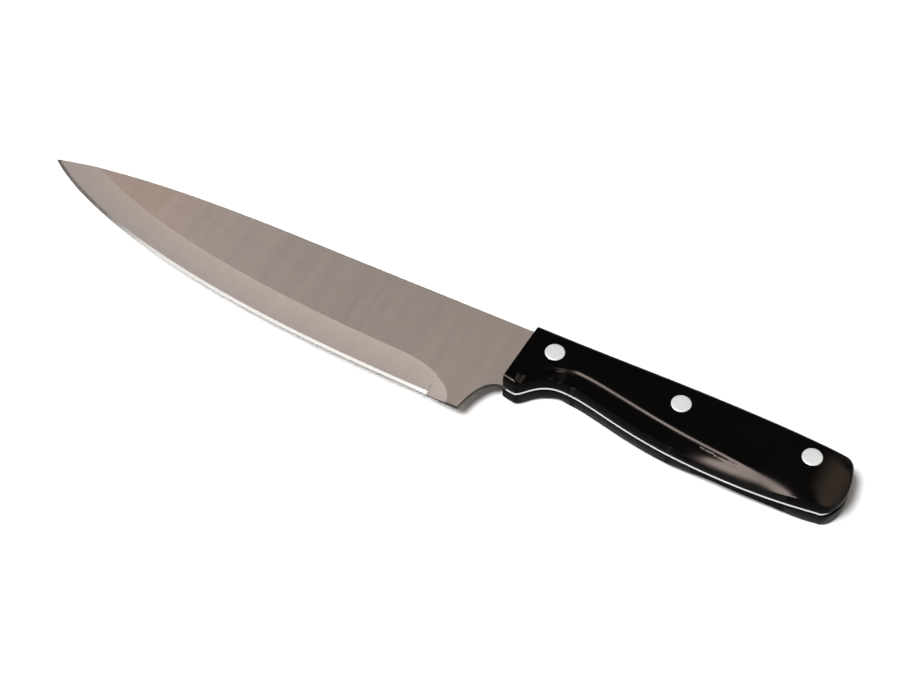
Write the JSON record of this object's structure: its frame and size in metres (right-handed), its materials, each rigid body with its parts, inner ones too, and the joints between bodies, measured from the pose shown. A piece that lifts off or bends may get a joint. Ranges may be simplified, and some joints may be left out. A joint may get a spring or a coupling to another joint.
{
  "type": "chef knife",
  "caption": "Broad hollow-ground kitchen knife blade with a full tang between two black moulded handle scales, held by flush compression rivets.",
  "frame": {"origin": "bottom centre of the bounding box: the outer face of the right scale is at z = 0, the tip and the butt are at equal distances along X, the spine and the heel at equal distances along Y", "axes": "the knife lies on its right side: +X from tip to butt, +Y from the cutting edge to the spine, +Z out of the blade's left side"},
  "size_m": [0.3287, 0.0426, 0.0134],
  "materials": {
    "satin_steel": "satin, cross-ground hollow band, polished honed edge",
    "black_plastic": "moulded, semi-gloss with a soft satin sheen",
    "rivet_metal": "linished flush, satin"
  },
  "bodies": {
    "root": {"blade": "satin_steel", "left_scale": "black_plastic", "right_scale": "black_plastic", "front_rivet_socket": "rivet_metal", "front_rivet_pin": "rivet_metal", "middle_rivet_socket": "rivet_metal", "middle_rivet_pin": "rivet_metal", "rear_rivet_socket": "rivet_metal", "rear_rivet_pin": "rivet_metal"}
  },
  "joints": []
}
